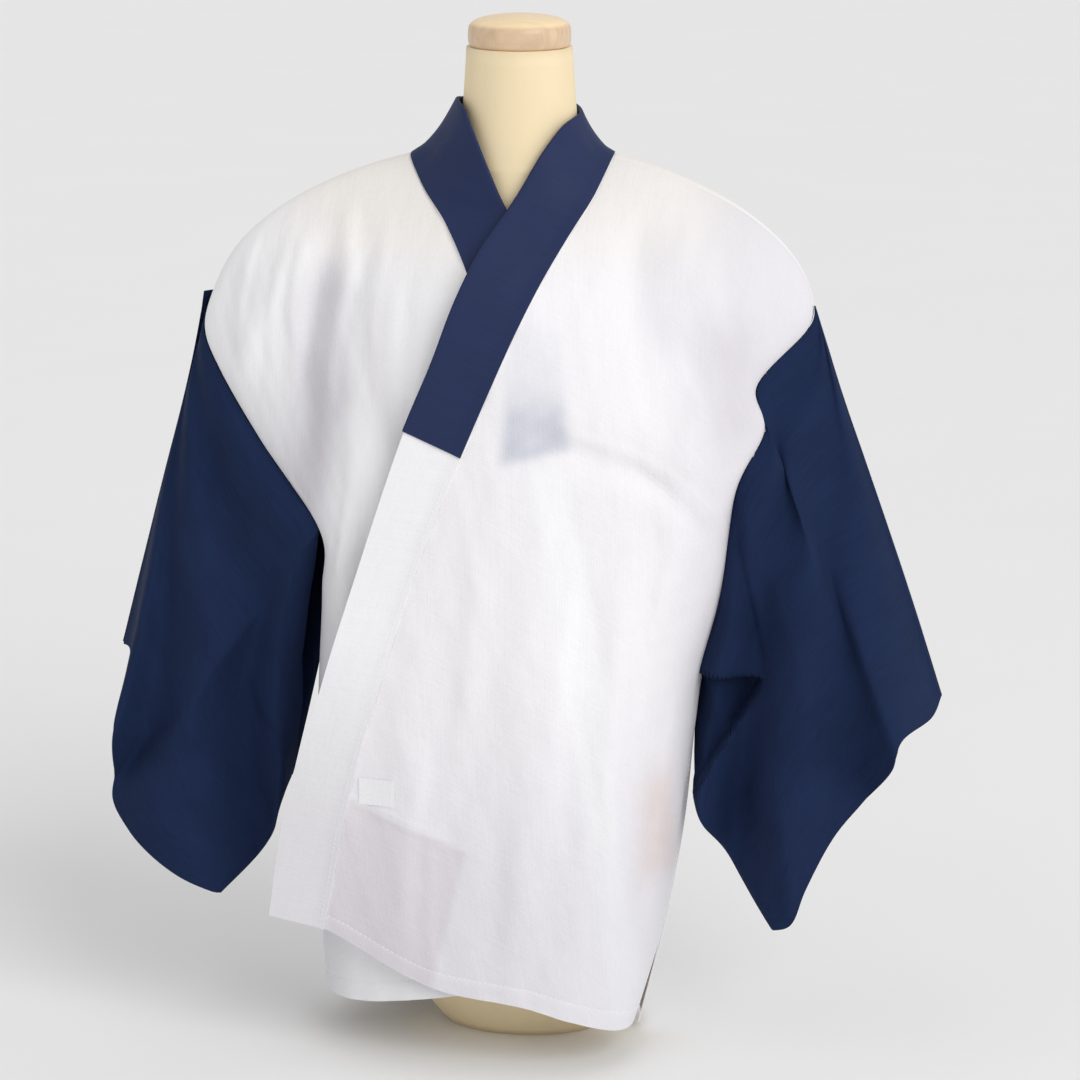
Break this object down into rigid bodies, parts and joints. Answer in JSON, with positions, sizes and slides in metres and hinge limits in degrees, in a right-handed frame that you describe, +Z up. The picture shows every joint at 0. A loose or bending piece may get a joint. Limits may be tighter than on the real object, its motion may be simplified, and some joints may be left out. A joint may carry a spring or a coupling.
{
  "type": "hanjuban on a dress form",
  "caption": "Short white kimono under-robe with navy sleeves and a navy half collar, worn closed on a limbless dress form.",
  "frame": {"origin": "on the flat base of the dress form, below the neck's axis", "axes": "+Z up along the form, -Y the front of the garment, +X the wearer's left"},
  "size_m": [0.7472, 0.2448, 0.917],
  "materials": {
    "white_cotton": "plain weave, bleached, slightly translucent",
    "navy_cotton": "plain weave, soft sheen",
    "form_cover": "smooth stretched cover",
    "cap_wood": "clear satin lacquer"
  },
  "bodies": {
    "root": {"body_left": "white_cotton", "body_right": "white_cotton", "collar_band": "white_cotton", "half_collar": "navy_cotton", "sleeve_left": "navy_cotton", "sleeve_right": "navy_cotton", "blank_tab": "white_cotton", "dress_form": "form_cover", "neck_cap": "cap_wood"}
  },
  "joints": []
}
